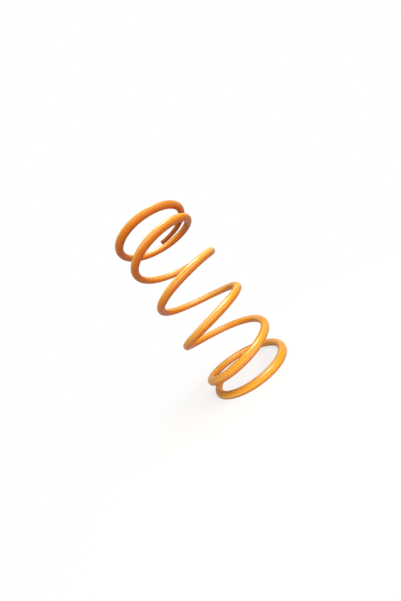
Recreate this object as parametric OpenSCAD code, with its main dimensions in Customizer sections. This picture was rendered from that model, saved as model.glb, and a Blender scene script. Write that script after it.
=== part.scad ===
// Helical compression spring of round wire, wound right-hand, with closed and ground ends.
// It stands on its lower ground face, with the coil axis on Z and the origin at the middle of that face.

/* [Wire] */
// Diameter of the round wire
wire_d = 5; // [3:0.1:7]

/* [Coil] */
// Mean diameter of the coil, from wire centre to wire centre
coil_mean_d = 50; // [36:0.5:80]
// Free length between the two ground faces
free_length = 114; // [80:1:160]
// Turns of wire from tip to tip
turns = 6; // [4.5:0.25:9]

/* [Closed ends] */
// Thickness of wire that the grinding leaves at each tip
tip_thickness = 2.2; // [1:0.1:2.8]
// Gap between each tip and the turn next to it
tip_gap = 0.2; // [0.2:0.1:2.5]
// Turns from a tip to where the wire starts to leave its closed turn
closed_turns = 0.4; // [0.3:0.05:1]
// Turns over which the closed pitch grows to the working pitch
rise_turns = 1.4; // [1:0.05:1.8]

/* [Hidden] */

// Sides of the wire: a multiple of four puts corners on the inside and outside diameters
wire_sides = 16;
// Sections of the wire in each turn
sections_per_turn = 52;

wire_r = wire_d / 2;
coil_r = coil_mean_d / 2;

// Share of the change from closed to working pitch that is done, at a number of turns from a tip
function rise(from_tip) =
    let (x = max(0, min(1, (from_tip - closed_turns) / rise_turns)))
    x * x * (3 - 2 * x);

// The sum of that share from the tip on, in turns
function rise_sum(from_tip) =
    let (x = max(0, min(1, (from_tip - closed_turns) / rise_turns)))
    let (past = max(0, from_tip - closed_turns - rise_turns))
    rise_turns * (x * x * x - x * x * x * x / 2) + past;

// The wire's centre starts below the ground face where grinding takes more than half of the wire
tip_height = tip_thickness - wire_r;
// One turn on from a tip the wire passes over it, clear by the tip gap
first_lift = wire_d + tip_gap;
// The pitch grows by what is left to climb to half the free length
pitch_growth = (free_length / 2 - tip_height - first_lift * turns / 2)
    / (rise_sum(turns / 2) - rise_sum(1) * turns / 2);
closed_pitch = first_lift - pitch_growth * rise_sum(1);

// Height of the wire's centre above the ground face that the tip belongs to
function climb(from_tip) = tip_height + closed_pitch * from_tip + pitch_growth * rise_sum(from_tip);

// Height of the wire's centre, and the angle at which it climbs, by turns from the lower tip
function height(turn) = turn < turns / 2 ? climb(turn) : free_length - climb(turns - turn);
function climb_angle(turn) =
    atan2(closed_pitch + pitch_growth * rise(min(turn, turns - turn)), PI * coil_mean_d);

// Corners of the wire's section, square to the wire
function section(turn) =
    let (z = height(turn))
    let (tilt = climb_angle(turn))
    let (around = 360 * turn)
    [for (i = [0 : wire_sides - 1])
        let (a = 360 * i / wire_sides)
        let (out = coil_r + wire_r * cos(a))
        let (back = wire_r * sin(a) * sin(tilt))
        [
            out * cos(around) + back * sin(around),
            out * sin(around) - back * cos(around),
            z + wire_r * sin(a) * cos(tilt)
        ]];

// Wire wound to the whole coil, before its ends are ground
module wound_wire() {
    steps = ceil(turns * sections_per_turn);
    corners = [for (k = [0 : steps]) each section(turns * k / steps)];
    sides = [for (k = [0 : steps - 1], i = [0 : wire_sides - 1])
        let (here = k * wire_sides)
        let (next = here + wire_sides)
        let (j = (i + 1) % wire_sides)
        [here + i, next + i, next + j, here + j]];
    lower_tip = [for (i = [0 : wire_sides - 1]) i];
    upper_tip = [for (i = [0 : wire_sides - 1]) (steps + 1) * wire_sides - 1 - i];
    polyhedron(points = corners, faces = concat([lower_tip, upper_tip], sides), convexity = 10);
}

// What the grinding takes away below a face, wide and deep enough for the whole coil
module ground_away() {
    width = coil_mean_d + 4 * wire_d;
    translate([-width / 2, -width / 2, -2 * wire_d])
        cube([width, width, 2 * wire_d]);
}

module coil_spring() {
    color("darkorange") difference() {
        wound_wire();
        ground_away();
        translate([0, 0, free_length]) mirror([0, 0, 1]) ground_away();
    }
}

coil_spring();
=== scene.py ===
import math

import bpy
import numpy as np
from mathutils import Matrix, Vector


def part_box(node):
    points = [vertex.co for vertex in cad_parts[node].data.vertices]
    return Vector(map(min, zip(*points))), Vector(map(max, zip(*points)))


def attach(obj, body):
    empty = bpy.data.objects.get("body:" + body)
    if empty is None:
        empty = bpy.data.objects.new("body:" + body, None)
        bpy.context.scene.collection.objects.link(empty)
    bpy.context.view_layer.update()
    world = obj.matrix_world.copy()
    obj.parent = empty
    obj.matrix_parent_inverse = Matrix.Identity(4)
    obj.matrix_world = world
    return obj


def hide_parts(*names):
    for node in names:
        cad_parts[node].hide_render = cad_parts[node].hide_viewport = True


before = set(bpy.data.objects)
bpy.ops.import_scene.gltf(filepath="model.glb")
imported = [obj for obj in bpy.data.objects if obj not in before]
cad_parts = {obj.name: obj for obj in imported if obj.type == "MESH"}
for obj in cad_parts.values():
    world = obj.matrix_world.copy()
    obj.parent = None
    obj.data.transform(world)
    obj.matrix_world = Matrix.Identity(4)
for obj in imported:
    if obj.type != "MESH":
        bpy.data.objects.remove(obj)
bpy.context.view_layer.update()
springLow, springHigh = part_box("coil_spring")
print("frame loaded, spring box", tuple(springLow), tuple(springHigh))

scene = bpy.context.scene
scene.view_settings.view_transform = "Standard"

# camera: held close to the coil and turned, so that the spring leans across the picture
cameraView = {
    "eye": (-0.1346, -0.0087, 0.0498),
    "aim": (0.0, 0.0002, 0.0559),
    "roll": 36.0,  # degrees, upper end of the spring to the left
    "focalPixels": 200.6,
    "longSidePixels": 601,
    "sensor": 36.0,
    "nearClip": 0.002,
}


def makeCamera(view):
    data = bpy.data.cameras.new("photoCamera")
    data.sensor_width = view["sensor"]
    data.lens = view["focalPixels"] / view["longSidePixels"] * view["sensor"]
    data.clip_start = view["nearClip"]
    eye = Vector(view["eye"])
    ahead = (Vector(view["aim"]) - eye).normalized()
    level = ahead.cross(Vector((0, 0, 1))).normalized()
    upright = level.cross(ahead)
    roll = math.radians(view["roll"])
    right = level * math.cos(roll) - upright * math.sin(roll)
    top = level * math.sin(roll) + upright * math.cos(roll)
    camera = bpy.data.objects.new("photoCamera", data)
    camera.matrix_world = Matrix.Translation(eye) @ Matrix((right, top, -ahead)).transposed().to_4x4()
    scene.collection.objects.link(camera)
    scene.camera = camera


makeCamera(cameraView)
print("camera placed")

# the wound wire, with the same winding as the solid it stands for
springShape = {
    "wireDiameter": 0.005,
    "turns": 6.0,
    "tipThickness": 0.0022,
    "tipGap": 0.0002,
    "closedTurns": 0.4,
    "riseTurns": 1.4,
    "ringsPerTurn": 150,
    "flatSteps": 6,  # steps across a ground face
    "edgeSteps": 3,  # steps round each edge of a ground face
    "arcSteps": 26,  # steps round the rest of the wire
    "edgeRound": 0.0002,
    "leastEdgeRound": 0.00002,  # what stays of it where the tip is rounded too
    "tipRound": 0.00025,
    "tipBends": (0, 30, 60),  # degrees, the rings that round a tip
    "leastZone": 8.0,  # degrees, half of what the flat's points take up where the grinding ends
    "relaxTurns": 0.2,  # turns over which they then spread out evenly
    "scanSteps": 3001,  # steps of the search for the end of the grinding
    "thinPaintReach": 0.0006,  # how far from an edge the paint is thin
    "sharpFrom": 0.25,  # radians, an edge that turns less keeps its paint
    "sharpOver": 0.5,  # radians more, at which the paint is thinnest
    "creviceShadeTurns": 0.30,  # how far from a tip the painted shade reaches on the side that faces the next turn
    "creviceShadeFade": 0.15,  # turns over which that ends
    "creviceShadeFrom": 0.25,  # heights on that side, in wire radii, between which the painted shade deepens
    "creviceShadeTo": 0.95,
    "creviceShadeInward": 0.5,  # it fades out towards the outside of the coil
}
roundWire, groundFace, shearedTip = range(3)  # the spring's materials, in this order


class Winding:
    # heights and slopes along the wire, counted in turns from the lower tip
    def __init__(self, shape, low, high):
        self.turns = shape["turns"]
        self.closed = shape["closedTurns"]
        self.riseTurns = shape["riseTurns"]
        self.length = high.z - low.z
        self.wireRadius = shape["wireDiameter"] / 2
        self.coilRadius = (high.x - low.x) / 2 - self.wireRadius
        self.tipHeight = shape["tipThickness"] - self.wireRadius
        firstLift = shape["wireDiameter"] + shape["tipGap"]
        half = self.turns / 2
        self.growth = (self.length / 2 - self.tipHeight - firstLift * half) / (
            self.riseSum(half) - self.riseSum(1) * half)
        self.closedPitch = firstLift - self.growth * self.riseSum(1)

    def share(self, turn):
        return np.clip((turn - self.closed) / self.riseTurns, 0, 1)

    def rise(self, turn):
        x = self.share(turn)
        return x * x * (3 - 2 * x)

    def riseSum(self, turn):
        x = self.share(turn)
        return self.riseTurns * (x ** 3 - x ** 4 / 2) + np.maximum(0, turn - self.closed - self.riseTurns)

    def climb(self, turn):
        return self.tipHeight + self.closedPitch * turn + self.growth * self.riseSum(turn)

    def height(self, turn):
        return np.where(turn < self.turns / 2, self.climb(turn), self.length - self.climb(self.turns - turn))

    def pitch(self, turn):
        return self.closedPitch + self.growth * self.rise(np.minimum(turn, self.turns - turn))


def sectionOutline(radius, depth, edgeRound, zone, shape):
    # outline of one wire section, cut by the grinding plane at depth below its centre
    # zone is the half angle that the flat's points take up where the wire is whole
    flatSteps = shape["flatSteps"]
    edgeSteps = shape["edgeSteps"]
    arcSteps = shape["arcSteps"]
    count = flatSteps + 2 * edgeSteps + arcSteps
    inner = np.clip((depth - edgeRound) / (radius - edgeRound), -1, 1)
    corner = math.acos(inner)  # angle from straight down to the rounded edge
    ground = corner > zone
    if ground:
        reach = (radius - edgeRound) * math.sin(corner)
        flatX = np.linspace(-reach, reach, flatSteps + 1)
        flatY = np.full(flatSteps + 1, -depth)
        bend = np.linspace(0, corner, edgeSteps + 1)[1:]
        edgeX = reach + edgeRound * np.sin(bend)
        edgeY = edgeRound - depth - edgeRound * np.cos(bend)
        arc = np.linspace(corner, 2 * math.pi - corner, arcSteps + 1)[1:]
        across = np.concatenate([flatX, edgeX, radius * np.sin(arc), -edgeX[::-1][1:]])
        along = np.concatenate([flatY, edgeY, -radius * np.cos(arc), edgeY[::-1][1:]])
        # thin paint along the edges, only where the edge is sharp enough
        sharp = np.clip((corner - shape["sharpFrom"]) / shape["sharpOver"], 0, 1)
        toEdge = np.arange(arcSteps + 1) * radius * 2 * (math.pi - corner) / arcSteps
        firstArc = flatSteps + edgeSteps
        gap = np.zeros(count)
        gap[:flatSteps + 1] = reach - np.abs(flatX)
        gap[firstArc:firstArc + arcSteps + 1] = np.minimum(toEdge, toEdge[::-1])
        darkening = np.clip(1 - gap / shape["thinPaintReach"], 0, 1) ** 2 * sharp
    else:
        half = np.linspace(-zone, zone, flatSteps + 2 * edgeSteps + 1)
        arc = np.linspace(zone, 2 * math.pi - zone, arcSteps + 1)
        angle = np.concatenate([half[edgeSteps:], arc[1:], half[1:edgeSteps]])
        across = radius * np.sin(angle)
        along = np.maximum(-radius * np.cos(angle), -depth)
        darkening = np.zeros(count)
    return across, along, darkening, ground


def ringTurns(winding, shape):
    # rings that round the first tip, the rings between the tips, and the other tip's
    turnLength = math.hypot(2 * math.pi * winding.coilRadius, winding.closedPitch)
    bend = np.radians(shape["tipBends"])
    tipTurns = shape["tipRound"] * (1 - np.cos(bend)) / turnLength
    tipInset = shape["tipRound"] * (1 - np.sin(bend))
    start = shape["tipRound"] / turnLength
    middle = np.linspace(start, winding.turns - start, int(winding.turns * shape["ringsPerTurn"]))
    turns = np.concatenate([tipTurns, middle, winding.turns - tipTurns[::-1]])
    inset = np.concatenate([tipInset, np.zeros(len(middle)), tipInset[::-1]])
    return turns, inset


def creviceShadeMask(winding, shape, across, along, fromTip):
    # painted shade near a tip, on the inner side that faces the next turn
    facing = np.clip((along / winding.wireRadius - shape["creviceShadeFrom"])
                     / (shape["creviceShadeTo"] - shape["creviceShadeFrom"]), 0, 1)
    inward = np.clip(shape["creviceShadeInward"] - across / winding.wireRadius, 0, 1)
    nearTipShade = np.clip((shape["creviceShadeTurns"] - fromTip) / shape["creviceShadeFade"], 0, 1)
    return facing * inward * nearTipShade


def windRings(winding, shape, turns, inset):
    heights = winding.height(turns)
    tilts = np.arctan2(winding.pitch(turns), 2 * math.pi * winding.coilRadius)
    steps = np.hypot(2 * math.pi * winding.coilRadius, winding.pitch(turns))
    runs = np.concatenate([[0], np.cumsum(np.diff(turns) * (steps[1:] + steps[:-1]) / 2)])
    cutSteps = shape["flatSteps"] + 2 * shape["edgeSteps"]
    count = cutSteps + shape["arcSteps"]
    turnedOver = (count // 2 + shape["flatSteps"] - np.arange(count)) % count
    evenZone = math.pi * cutSteps / count
    leastZone = math.radians(shape["leastZone"])
    # turn at which the lower ground face ends
    scan = np.linspace(0, winding.turns / 2, shape["scanSteps"])
    groundEnd = scan[np.argmax(winding.height(scan) > winding.wireRadius)]
    points = []
    places = []
    darkenings = []
    grounds = []
    for turn, height, tilt, run, cut in zip(turns, heights, tilts, runs, inset):
        upper = turn > winding.turns / 2
        fromTip = winding.turns - turn if upper else turn
        toPlane = winding.length - height if upper else height
        relax = np.clip((fromTip - groundEnd) / shape["relaxTurns"], 0, 1)
        zone = leastZone + (evenZone - leastZone) * relax * relax * (3 - 2 * relax)
        edgeRound = max(shape["edgeRound"] - cut, shape["leastEdgeRound"])
        across, along, darkening, ground = sectionOutline(
            winding.wireRadius - cut, toPlane / math.cos(tilt) - cut, edgeRound, zone, shape)
        fromFace = min(run, runs[-1] - run)
        darkening = np.maximum(darkening, max(0, 1 - fromFace / shape["thinPaintReach"]) ** 2)
        # painted shade near each tip, on the side that faces the next turn
        darkening = np.maximum(darkening, creviceShadeMask(winding, shape, across, along, fromTip))
        if upper:  # the same outline, turned over
            across = across[turnedOver]
            along = -along[turnedOver]
            darkening = darkening[turnedOver]
        around = 2 * math.pi * turn
        out = winding.coilRadius + across
        back = along * math.sin(tilt)
        points.append(np.stack([
            out * math.cos(around) + back * math.sin(around),
            out * math.sin(around) - back * math.cos(around),
            height + along * math.cos(tilt)], 1))
        places.append(np.stack([across, along, np.full(count, run)], 1))
        darkenings.append(darkening)
        grounds.append(ground)
    return [np.concatenate(layer) for layer in (points, places, darkenings)], grounds, count


def wireFaces(winding, shape, turns, grounds, count):
    lowFlat = set(range(shape["flatSteps"]))
    highFlat = {(count // 2 + shape["flatSteps"] - 1 - k) % count for k in lowFlat}
    faces = []
    kinds = []
    for ring in range(len(turns) - 1):
        flat = highFlat if turns[ring] > winding.turns / 2 else lowFlat
        bothGround = grounds[ring] and grounds[ring + 1]
        here = ring * count
        for k in range(count):
            follow = (k + 1) % count
            faces.append((here + k, here + follow, here + count + follow, here + count + k))
            kinds.append(groundFace if bothGround and k in flat else roundWire)
    return faces, kinds


def makeSpring(shape):
    winding = Winding(shape, springLow, springHigh)
    turns, inset = ringTurns(winding, shape)
    layers, grounds, count = windRings(winding, shape, turns, inset)
    faces, kinds = wireFaces(winding, shape, turns, grounds, count)
    # sheared tips, as fans round a middle point
    for first, turned in ((0, True), ((len(turns) - 1) * count, False)):
        middle = len(layers[0])
        rim = np.arange(first, first + count)
        layers = [np.concatenate([layer, layer[rim].mean(0)[None]]) for layer in layers]
        for k in range(count):
            follow = (k + 1) % count
            pair = (first + follow, first + k) if turned else (first + k, first + follow)
            faces.append((*pair, middle))
            kinds.append(shearedTip)
    points, places, darkenings = layers
    mesh = bpy.data.meshes.new("paintedSpring")
    mesh.from_pydata(points.tolist(), [], faces)
    mesh.polygons.foreach_set("use_smooth", [kind != shearedTip for kind in kinds])
    mesh.polygons.foreach_set("material_index", kinds)
    placeLayer = mesh.attributes.new("wirePlace", "FLOAT_VECTOR", "POINT")
    placeLayer.data.foreach_set("vector", places.astype(np.float32).ravel())
    darkeningLayer = mesh.attributes.new("thinPaintAndShade", "FLOAT", "POINT")
    darkeningLayer.data.foreach_set("value", darkenings.astype(np.float32))
    mesh.validate()
    mesh.update()
    made = bpy.data.objects.new("painted_spring", mesh)
    scene.collection.objects.link(made)
    return made


spring = makeSpring(springShape)
print("spring wound:", len(spring.data.vertices), "points,", len(spring.data.polygons), "faces")

noiseRoughness = 0.55  # how strong the finer layers of each noise are


def addNode(tree, kind, inputs=None, **settings):
    made = tree.nodes.new(kind)
    for name, value in settings.items():
        setattr(made, name, value)
    for name, value in (inputs or {}).items():
        made.inputs[name].default_value = value
    return made


def feed(tree, socket, value):
    # a plain value is set on the socket, another node's output is linked to it
    if isinstance(value, (int, float, tuple)):
        socket.default_value = value
    else:
        tree.links.new(value, socket)


def mathNode(tree, operation, first, second):
    made = addNode(tree, "ShaderNodeMath", operation=operation)
    feed(tree, made.inputs[0], first)
    feed(tree, made.inputs[1], second)
    return made.outputs[0]


def mixColours(tree, factor, first, second):
    made = addNode(tree, "ShaderNodeMix", data_type="RGBA")
    for index, value in ((0, factor), (6, first), (7, second)):  # the colour form of the node
        feed(tree, made.inputs[index], value)
    return made.outputs[2]


def mixValues(tree, first, second, share):
    # a share of the first value, and the rest of the second
    part = mathNode(tree, "MULTIPLY", first, share)
    rest = mathNode(tree, "MULTIPLY", second, 1 - share)
    return mathNode(tree, "ADD", part, rest)


def spread(tree, value, low, high):
    limits = {"From Min": low, "From Max": high}
    made = addNode(tree, "ShaderNodeMapRange", limits, interpolation_type="SMOOTHSTEP")
    tree.links.new(value, made.inputs["Value"])
    return made.outputs["Result"]


def noiseAt(tree, place, scale, detail, stretch=None):
    if stretch:
        scaled = addNode(tree, "ShaderNodeVectorMath", operation="MULTIPLY")
        feed(tree, scaled.inputs[0], place)
        feed(tree, scaled.inputs[1], stretch)
        place = scaled.outputs[0]
    values = {"Scale": scale, "Detail": detail, "Roughness": noiseRoughness}
    made = addNode(tree, "ShaderNodeTexNoise", values)
    tree.links.new(place, made.inputs["Vector"])
    return made.outputs[0]


def startGroup(name, inputs, outputs):
    group = bpy.data.node_groups.new(name, "ShaderNodeTree")
    kinds = {"vector": "NodeSocketVector", "colour": "NodeSocketColor", "value": "NodeSocketFloat"}
    for label, kind in inputs.items():
        group.interface.new_socket(label, in_out="INPUT", socket_type=kinds[kind])
    for label, kind in outputs.items():
        group.interface.new_socket(label, in_out="OUTPUT", socket_type=kinds[kind])
    return group, group.nodes.new("NodeGroupInput"), group.nodes.new("NodeGroupOutput")


# paint film: clouded colour, orange peel and gloss that varies with it
filmLook = {
    "cloudScale": 85.0,
    "cloudDetail": 3.0,
    "cloudStretch": (1, 1, 0.15),  # the last is along the wire
    "cloudShare": 0.65,  # of the clouding, the rest is patches
    "cloudFrom": 0.35,
    "cloudTo": 0.68,
    "patchScale": 420.0,
    "patchDetail": 2.0,
    "patchStretch": (1, 1, 0.3),
    "patchShare": 0.6,  # of the roughness, the rest is fine grain
    "roughFrom": 0.3,
    "roughTo": 0.7,
    "peelScale": 480.0,
    "peelDetail": 1.5,
    "peelShare": 0.8,  # of the orange peel, the rest is fine grain
    "fineScale": 1500.0,
    "fineDetail": 1.0,
}


def makeFilmGroup(look):
    group, given, result = startGroup(
        "paintFilm",
        {"Place": "vector", "Paint": "colour", "Deep Paint": "colour", "Clouding": "value",
         "Least Roughness": "value", "Most Roughness": "value"},
        {"Colour": "colour", "Roughness": "value", "Peel": "value"})
    place = given.outputs["Place"]
    cloud = noiseAt(group, place, look["cloudScale"], look["cloudDetail"], look["cloudStretch"])
    patch = noiseAt(group, place, look["patchScale"], look["patchDetail"], look["patchStretch"])
    peel = noiseAt(group, place, look["peelScale"], look["peelDetail"])
    fine = noiseAt(group, place, look["fineScale"], look["fineDetail"])
    mottled = mixValues(group, cloud, patch, look["cloudShare"])
    clouded = spread(group, mottled, look["cloudFrom"], look["cloudTo"])
    depth = mathNode(group, "MULTIPLY", clouded, given.outputs["Clouding"])
    colour = mixColours(group, depth, given.outputs["Paint"], given.outputs["Deep Paint"])
    group.links.new(colour, result.inputs["Colour"])
    limits = {"From Min": look["roughFrom"], "From Max": look["roughTo"]}
    rough = addNode(group, "ShaderNodeMapRange", limits)
    group.links.new(mixValues(group, patch, fine, look["patchShare"]), rough.inputs["Value"])
    group.links.new(given.outputs["Least Roughness"], rough.inputs["To Min"])
    group.links.new(given.outputs["Most Roughness"], rough.inputs["To Max"])
    group.links.new(rough.outputs["Result"], result.inputs["Roughness"])
    group.links.new(mixValues(group, peel, fine, look["peelShare"]), result.inputs["Peel"])
    return group


# drawn lines: fine ridges that run along the wire, and pale streaks along it, painted highlight that also
# stands for the drawn texture
lineLook = {
    "lineScale": 1300.0,
    "broadScale": 900.0,
    "detail": 2.0,
    "lengthShare": 0.02,  # how slowly they change along the wire
    "lineShare": 0.6,  # of the ridges, the rest is the broad streaks
    "streakFrom": 0.45,
    "streakTo": 0.63,
}


def makeLineGroup(look):
    group, given, result = startGroup(
        "drawnLinesAndHighlightStreaks", {"Place": "vector"}, {"Lines": "value", "Streaks": "value"})
    stretch = (1, 1, look["lengthShare"])
    fine = noiseAt(group, given.outputs["Place"], look["lineScale"], look["detail"], stretch)
    broad = noiseAt(group, given.outputs["Place"], look["broadScale"], look["detail"], stretch)
    group.links.new(mixValues(group, fine, broad, look["lineShare"]), result.inputs["Lines"])
    highlightStreaks = spread(group, broad, look["streakFrom"], look["streakTo"])
    group.links.new(highlightStreaks, result.inputs["Streaks"])
    return group


# thin paint and painted shade: the dark colour along sharp edges, where the paint is thin, and as painted
# shade where the next turn lies close to the wire
def makeThinPaintAndShadeGroup():
    group, given, result = startGroup(
        "thinPaintAndShade",
        {"Colour": "colour", "Thin Paint And Shade": "colour", "Mask": "value", "Share": "value"},
        {"Colour": "colour"})
    darkening = mathNode(group, "MULTIPLY", given.outputs["Mask"], given.outputs["Share"])
    colour = mixColours(group, darkening, given.outputs["Colour"], given.outputs["Thin Paint And Shade"])
    group.links.new(colour, result.inputs["Colour"])
    return group


filmGroup = makeFilmGroup(filmLook)
lineGroup = makeLineGroup(lineLook)
thinPaintAndShadeGroup = makeThinPaintAndShadeGroup()


def startMaterial(name, shaderValues):
    material = bpy.data.materials.new(name)
    material.use_nodes = True
    tree = material.node_tree
    tree.nodes.clear()
    output = tree.nodes.new("ShaderNodeOutputMaterial")
    shader = addNode(tree, "ShaderNodeBsdfPrincipled", shaderValues)
    tree.links.new(shader.outputs["BSDF"], output.inputs["Surface"])
    return material, tree, shader


def attribute(tree, name, output):
    return addNode(tree, "ShaderNodeAttribute", attribute_name=name).outputs[output]


def placeGroup(tree, group, values):
    made = addNode(tree, "ShaderNodeGroup", node_tree=group)
    for name, value in values.items():
        feed(tree, made.inputs[name], value)
    return made


def placeFilm(tree, place, look):
    return placeGroup(tree, filmGroup, {
        "Place": place, "Paint": look["paint"], "Deep Paint": look["deepPaint"],
        "Clouding": look["clouding"],
        "Least Roughness": look["leastRoughness"], "Most Roughness": look["mostRoughness"]})


def placeThinPaintAndShade(tree, colour, look):
    return placeGroup(tree, thinPaintAndShadeGroup, {
        "Colour": colour, "Thin Paint And Shade": look["thinPaintAndShade"],
        "Mask": attribute(tree, "thinPaintAndShade", "Fac"), "Share": look["thinPaintAndShadeShare"]})


def setBump(tree, shader, height, distance):
    bump = addNode(tree, "ShaderNodeBump", {"Distance": distance, "Strength": 1.0})
    tree.links.new(height, bump.inputs["Height"])
    tree.links.new(bump.outputs["Normal"], shader.inputs["Normal"])


# glossy orange enamel on the round of the wire
enamelLook = {
    "paint": (0.86, 0.385, 0.016, 1),
    "deepPaint": (0.77, 0.285, 0.009, 1),
    "thinPaintAndShade": (0.30, 0.075, 0.008, 1),
    "thinPaintAndShadeShare": 0.85,
    "highlightStreakPaint": (0.97, 0.620, 0.270, 1),
    "highlightStreakShare": 0.6,
    "undersideShadePaint": (0.72, 0.165, 0.004, 1),  # painted shade: darker, redder paint towards the underside of the wire
    "undersideShadeShare": 0.9,
    "undersideShadeFrom": 0.0012,  # heights above the wire's centre between which the painted shade deepens
    "undersideShadeTo": -0.0022,
    "clouding": 0.8,
    "leastRoughness": 0.25,
    "mostRoughness": 0.40,
    "specular": 0.03,
    "gloss": 0.14,
    "glossIndex": 2.4,
    "glossRoughness": 0.30,
    "peelShare": 0.55,  # of the bump, the rest is drawn lines
    "bumpDistance": 0.000003,
}


def makeEnamel(look):
    material, tree, shader = startMaterial("orangeEnamel", {
        "Specular IOR Level": look["specular"], "Coat Weight": look["gloss"],
        "Coat IOR": look["glossIndex"], "Coat Roughness": look["glossRoughness"]})
    place = attribute(tree, "wirePlace", "Vector")
    film = placeFilm(tree, place, look)
    lines = placeGroup(tree, lineGroup, {"Place": place})
    parts = addNode(tree, "ShaderNodeSeparateXYZ")
    tree.links.new(place, parts.inputs[0])
    # painted shade: the wire turns darker and redder towards its underside
    underside = spread(tree, parts.outputs["Y"], look["undersideShadeFrom"], look["undersideShadeTo"])
    undersideShade = mathNode(tree, "MULTIPLY", underside, look["undersideShadeShare"])
    # painted highlight: pale streaks along the wire
    highlightStreaks = mathNode(tree, "MULTIPLY", lines.outputs["Streaks"], look["highlightStreakShare"])
    highlightStreaked = mixColours(tree, highlightStreaks, film.outputs["Colour"], look["highlightStreakPaint"])
    undersideShaded = mixColours(tree, undersideShade, highlightStreaked, look["undersideShadePaint"])
    # thin paint along sharp edges, and painted shade near the tips where the next turn lies close
    thinnedAndShaded = placeThinPaintAndShade(tree, undersideShaded, look)
    tree.links.new(thinnedAndShaded.outputs["Colour"], shader.inputs["Base Color"])
    tree.links.new(film.outputs["Roughness"], shader.inputs["Roughness"])
    height = mixValues(tree, film.outputs["Peel"], lines.outputs["Lines"], look["peelShare"])
    setBump(tree, shader, height, look["bumpDistance"])
    return material


# enamel over the ground faces, where the grinding marks still show through
groundLook = {
    "paint": (0.85, 0.355, 0.014, 1),
    "deepPaint": (0.73, 0.245, 0.008, 1),
    "thinPaintAndShade": (0.30, 0.075, 0.008, 1),
    "thinPaintAndShadeShare": 0.85,
    "clouding": 0.9,
    "leastRoughness": 0.28,
    "mostRoughness": 0.44,
    "markScale": 2400.0,
    "markDetail": 3.0,
    "markStretch": (0.012, 1, 1),  # the first is along the marks
    "markTurn": 0.5,  # radians, direction of the grinding
    "markFrom": 0.45,
    "markTo": 0.7,
    "markColourShare": 0.3,
    "markShare": 0.75,  # of the bump, the rest is orange peel
    "specular": 0.12,
    "bumpDistance": 0.000030,
}


def makeGroundEnamel(look):
    material, tree, shader = startMaterial("groundFaceEnamel", {"Specular IOR Level": look["specular"]})
    place = attribute(tree, "wirePlace", "Vector")
    film = placeFilm(tree, place, look)
    turned = addNode(tree, "ShaderNodeVectorRotate", {"Angle": look["markTurn"]}, rotation_type="Z_AXIS")
    tree.links.new(addNode(tree, "ShaderNodeTexCoord").outputs["Object"], turned.inputs["Vector"])
    aligned = turned.outputs["Vector"]
    marks = noiseAt(tree, aligned, look["markScale"], look["markDetail"], look["markStretch"])
    furrows = spread(tree, marks, look["markFrom"], look["markTo"])
    shaded = mathNode(tree, "MULTIPLY", furrows, look["markColourShare"])
    marked = mixColours(tree, shaded, film.outputs["Colour"], look["deepPaint"])
    thinnedAndShaded = placeThinPaintAndShade(tree, marked, look)
    tree.links.new(thinnedAndShaded.outputs["Colour"], shader.inputs["Base Color"])
    tree.links.new(film.outputs["Roughness"], shader.inputs["Roughness"])
    height = mixValues(tree, marks, film.outputs["Peel"], look["markShare"])
    setBump(tree, shader, height, look["bumpDistance"])
    return material


# sheared tips: thin brown paint over the broken grain of the cut
tipLook = {
    "paint": (0.21, 0.070, 0.016, 1),
    "deepPaint": (0.09, 0.030, 0.012, 1),
    "clouding": 1.0,
    "leastRoughness": 0.38,
    "mostRoughness": 0.55,
    "index": 1.5,
    "tearScale": 1500.0,
    "tearDetail": 3.0,
    "tearStretch": (1, 0.15, 1),  # the second is the way the shear went
    "tearShare": 0.7,  # of the bump, the rest is orange peel
    "bumpDistance": 0.00006,
}


def makeTip(look):
    material, tree, shader = startMaterial("shearedTip", {"IOR": look["index"]})
    place = attribute(tree, "wirePlace", "Vector")
    film = placeFilm(tree, place, look)
    tear = noiseAt(tree, place, look["tearScale"], look["tearDetail"], look["tearStretch"])
    tree.links.new(film.outputs["Colour"], shader.inputs["Base Color"])
    tree.links.new(film.outputs["Roughness"], shader.inputs["Roughness"])
    height = mixValues(tree, tear, film.outputs["Peel"], look["tearShare"])
    setBump(tree, shader, height, look["bumpDistance"])
    return material


for material in (makeEnamel(enamelLook), makeGroundEnamel(groundLook), makeTip(tipLook)):
    spring.data.materials.append(material)
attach(spring, "root")
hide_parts("coil_spring")
print("spring painted")

# studio: pale floor and white surroundings
studioLook = {
    "floorColour": (0.26, 0.26, 0.26, 1),
    "floorLift": 0.75,  # white added to the floor near the spring, where it is seen
    "floorHalf": 3.0,
    "floorDrop": 0.0001,
    "fadeStart": 0.04,  # distances from the axis between which the floor turns plain white
    "fadeEnd": 0.15,
    "white": (1, 1, 1, 1),
    "ambient": (0.27, 0.215, 0.165, 1),  # the warm light that fills the shade
    "centre": (0.0, 0.0, 0.057),
}


def seenRays(tree):
    rays = tree.nodes.new("ShaderNodeLightPath")
    either = mathNode(tree, "MAXIMUM", rays.outputs["Is Camera Ray"], rays.outputs["Is Glossy Ray"])
    return mathNode(tree, "MAXIMUM", either, rays.outputs["Is Transmission Ray"])


def mixShaders(tree, factor, first, second, output):
    mix = tree.nodes.new("ShaderNodeMixShader")
    for socket, value in zip(mix.inputs, (factor, first, second)):
        tree.links.new(value, socket)
    tree.links.new(mix.outputs[0], output.inputs["Surface"])


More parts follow.
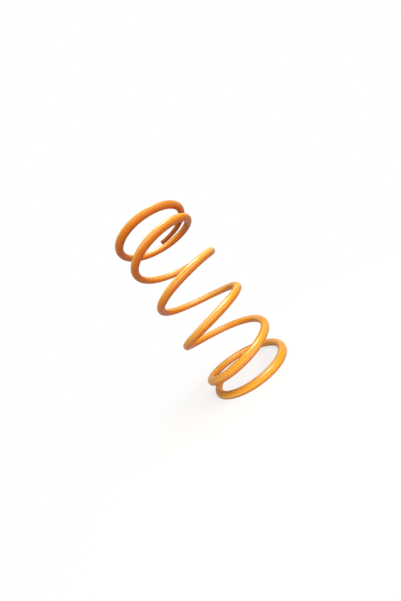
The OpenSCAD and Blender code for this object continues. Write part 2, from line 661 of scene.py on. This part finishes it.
def makeFloor(look):
    half = look["floorHalf"]
    mesh = bpy.data.meshes.new("studioFloor")
    corners = [(-half, -half, 0), (half, -half, 0), (half, half, 0), (-half, half, 0)]
    mesh.from_pydata(corners, [], [(0, 1, 2, 3)])
    floor = bpy.data.objects.new("studio_floor", mesh)
    floor.location.z = -look["floorDrop"]
    scene.collection.objects.link(floor)
    material = bpy.data.materials.new("paleFloor")
    material.cycles.emission_sampling = "NONE"  # its lift is for the eye, not a lamp
    material.use_nodes = True
    tree = material.node_tree
    tree.nodes.clear()
    output = tree.nodes.new("ShaderNodeOutputMaterial")
    matt = addNode(tree, "ShaderNodeBsdfDiffuse", {"Color": look["floorColour"]})
    seen = seenRays(tree)
    lift = addNode(tree, "ShaderNodeEmission", {"Color": look["white"]})
    tree.links.new(mathNode(tree, "MULTIPLY", seen, look["floorLift"]), lift.inputs["Strength"])
    near = tree.nodes.new("ShaderNodeAddShader")
    tree.links.new(matt.outputs[0], near.inputs[0])
    tree.links.new(lift.outputs[0], near.inputs[1])
    far = addNode(tree, "ShaderNodeEmission", {"Color": look["white"], "Strength": 1.0})
    length = addNode(tree, "ShaderNodeVectorMath", operation="LENGTH")
    tree.links.new(addNode(tree, "ShaderNodeTexCoord").outputs["Object"], length.inputs[0])
    fade = spread(tree, length.outputs["Value"], look["fadeStart"], look["fadeEnd"])
    mixShaders(tree, mathNode(tree, "MULTIPLY", fade, seen), near.outputs[0], far.outputs[0], output)
    mesh.materials.append(material)


def makeSurroundings(look):
    world = bpy.data.worlds.new("studioWorld")
    world.cycles.sampling_method = "NONE"  # an even light, found without aiming at it
    scene.world = world
    world.use_nodes = True
    tree = world.node_tree
    tree.nodes.clear()
    output = tree.nodes.new("ShaderNodeOutputWorld")
    dim = addNode(tree, "ShaderNodeBackground", {"Color": look["ambient"], "Strength": 1.0})
    bright = addNode(tree, "ShaderNodeBackground", {"Color": look["white"], "Strength": 1.0})
    mixShaders(tree, seenRays(tree), dim.outputs[0], bright.outputs[0], output)


# an overhead softbox, a low strip in front, and a small lamp that shows only in the gloss
softLights = {
    "overhead": {"direction": (-0.145, -0.31, 0.94), "along": (-0.50, -0.87, 0.0), "distance": 0.60,
                 "size": (0.60, 0.32), "watts": 4.1, "colour": (1.0, 0.985, 0.95)},
    "front": {"direction": (-0.95, -0.26, 0.02), "along": (0.0, 0.0, 1.0), "distance": 0.75,
              "size": (0.11, 1.40), "watts": 6.3, "colour": (1.0, 0.98, 0.95)},
    "overGlint": {"direction": (-0.145, -0.31, 0.94), "along": (-0.50, -0.87, 0.0), "distance": 0.59,
                  "size": (0.30, 0.13), "watts": 6.5, "colour": (1.0, 0.985, 0.95), "glossOnly": True},
}


def makeLights(lights, centre):
    for name, look in lights.items():
        data = bpy.data.lights.new(name + "Light", "AREA")
        data.shape = "RECTANGLE"
        data.size, data.size_y = look["size"]
        data.energy = look["watts"]
        data.color = look["colour"]
        lamp = bpy.data.objects.new(name + "Light", data)
        direction = Vector(look["direction"]).normalized()
        across = direction.cross(Vector(look["along"])).normalized()
        place = Vector(centre) + direction * look["distance"]
        facing = Matrix((across.cross(direction), across, direction)).transposed()
        lamp.matrix_world = Matrix.Translation(place) @ facing.to_4x4()
        lamp.visible_camera = False
        lamp.visible_diffuse = not look.get("glossOnly", False)
        scene.collection.objects.link(lamp)


makeFloor(studioLook)
makeSurroundings(studioLook)
makeLights(softLights, studioLook["centre"])
print("studio lit")
